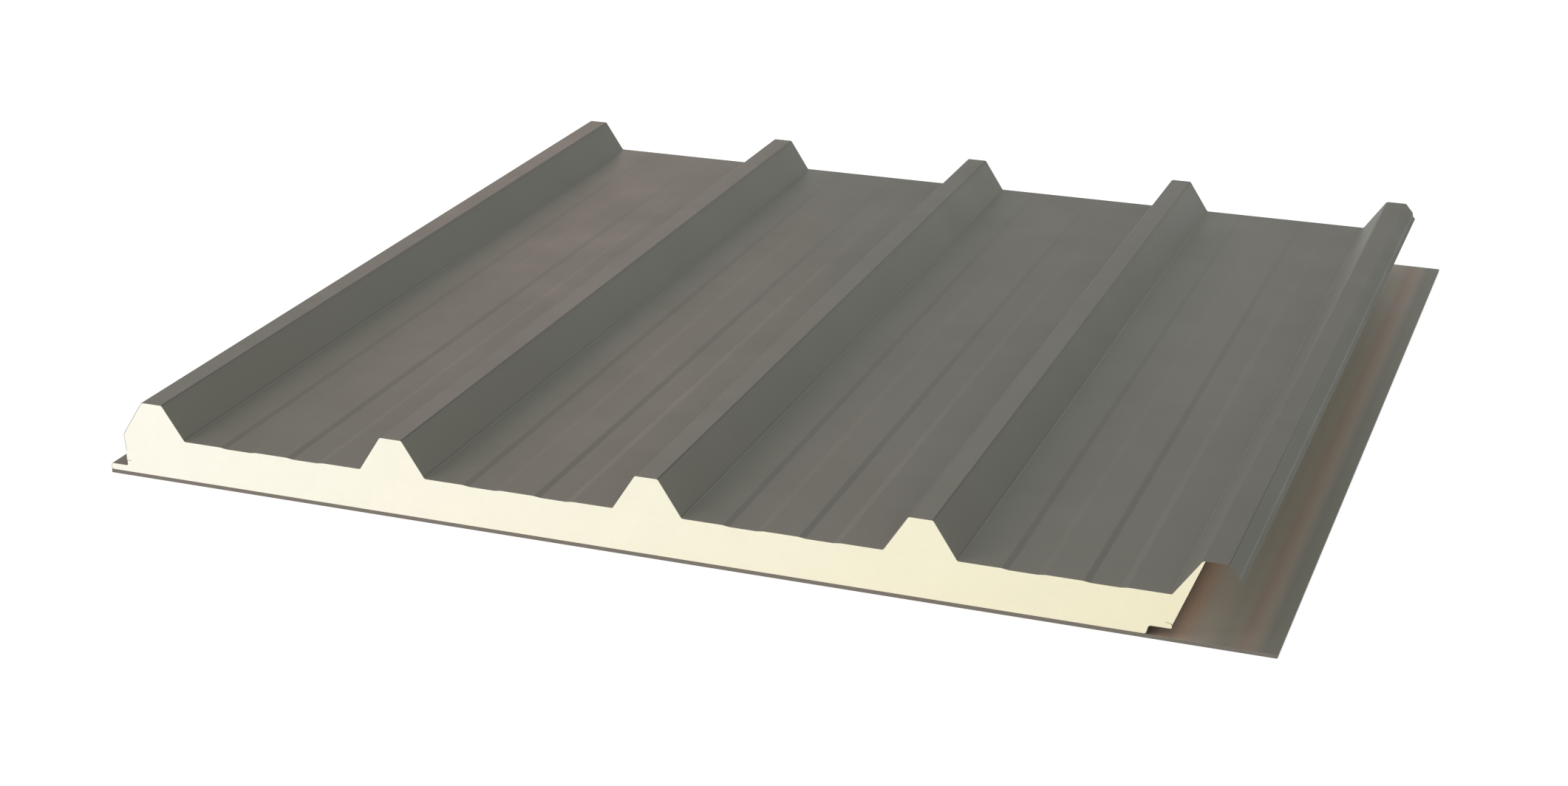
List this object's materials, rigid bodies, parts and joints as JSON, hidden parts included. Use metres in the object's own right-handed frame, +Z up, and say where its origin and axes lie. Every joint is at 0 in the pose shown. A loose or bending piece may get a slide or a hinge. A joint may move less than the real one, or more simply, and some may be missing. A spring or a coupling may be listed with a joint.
{
  "type": "insulated roof panel",
  "caption": "Insulated sandwich roof panel: ribbed steel outer sheet, foam core, thin inner sheet with a tongue and notch on its edges, hollow overlap rib, flat plate beneath.",
  "frame": {"origin": "middle of the whole part's underside, on the plate's lower face", "axes": "+X across the ribs, from the tongue edge to the overlap edge; +Y along the ribs; +Z up, out of the ribbed outer sheet"},
  "size_m": [1.1056, 1.02, 0.0775],
  "materials": {
    "outer_paint": "matt grey-brown coil coating",
    "foam": "cut face of cream rigid foam, fine closed cells",
    "liner_paint": "matt brown-grey coating",
    "plate_paint": "matt grey-brown coating"
  },
  "bodies": {
    "root": {"outer_sheet": "outer_paint", "foam_core": "foam", "inner_sheet": "liner_paint", "base_plate": "plate_paint"}
  },
  "joints": []
}
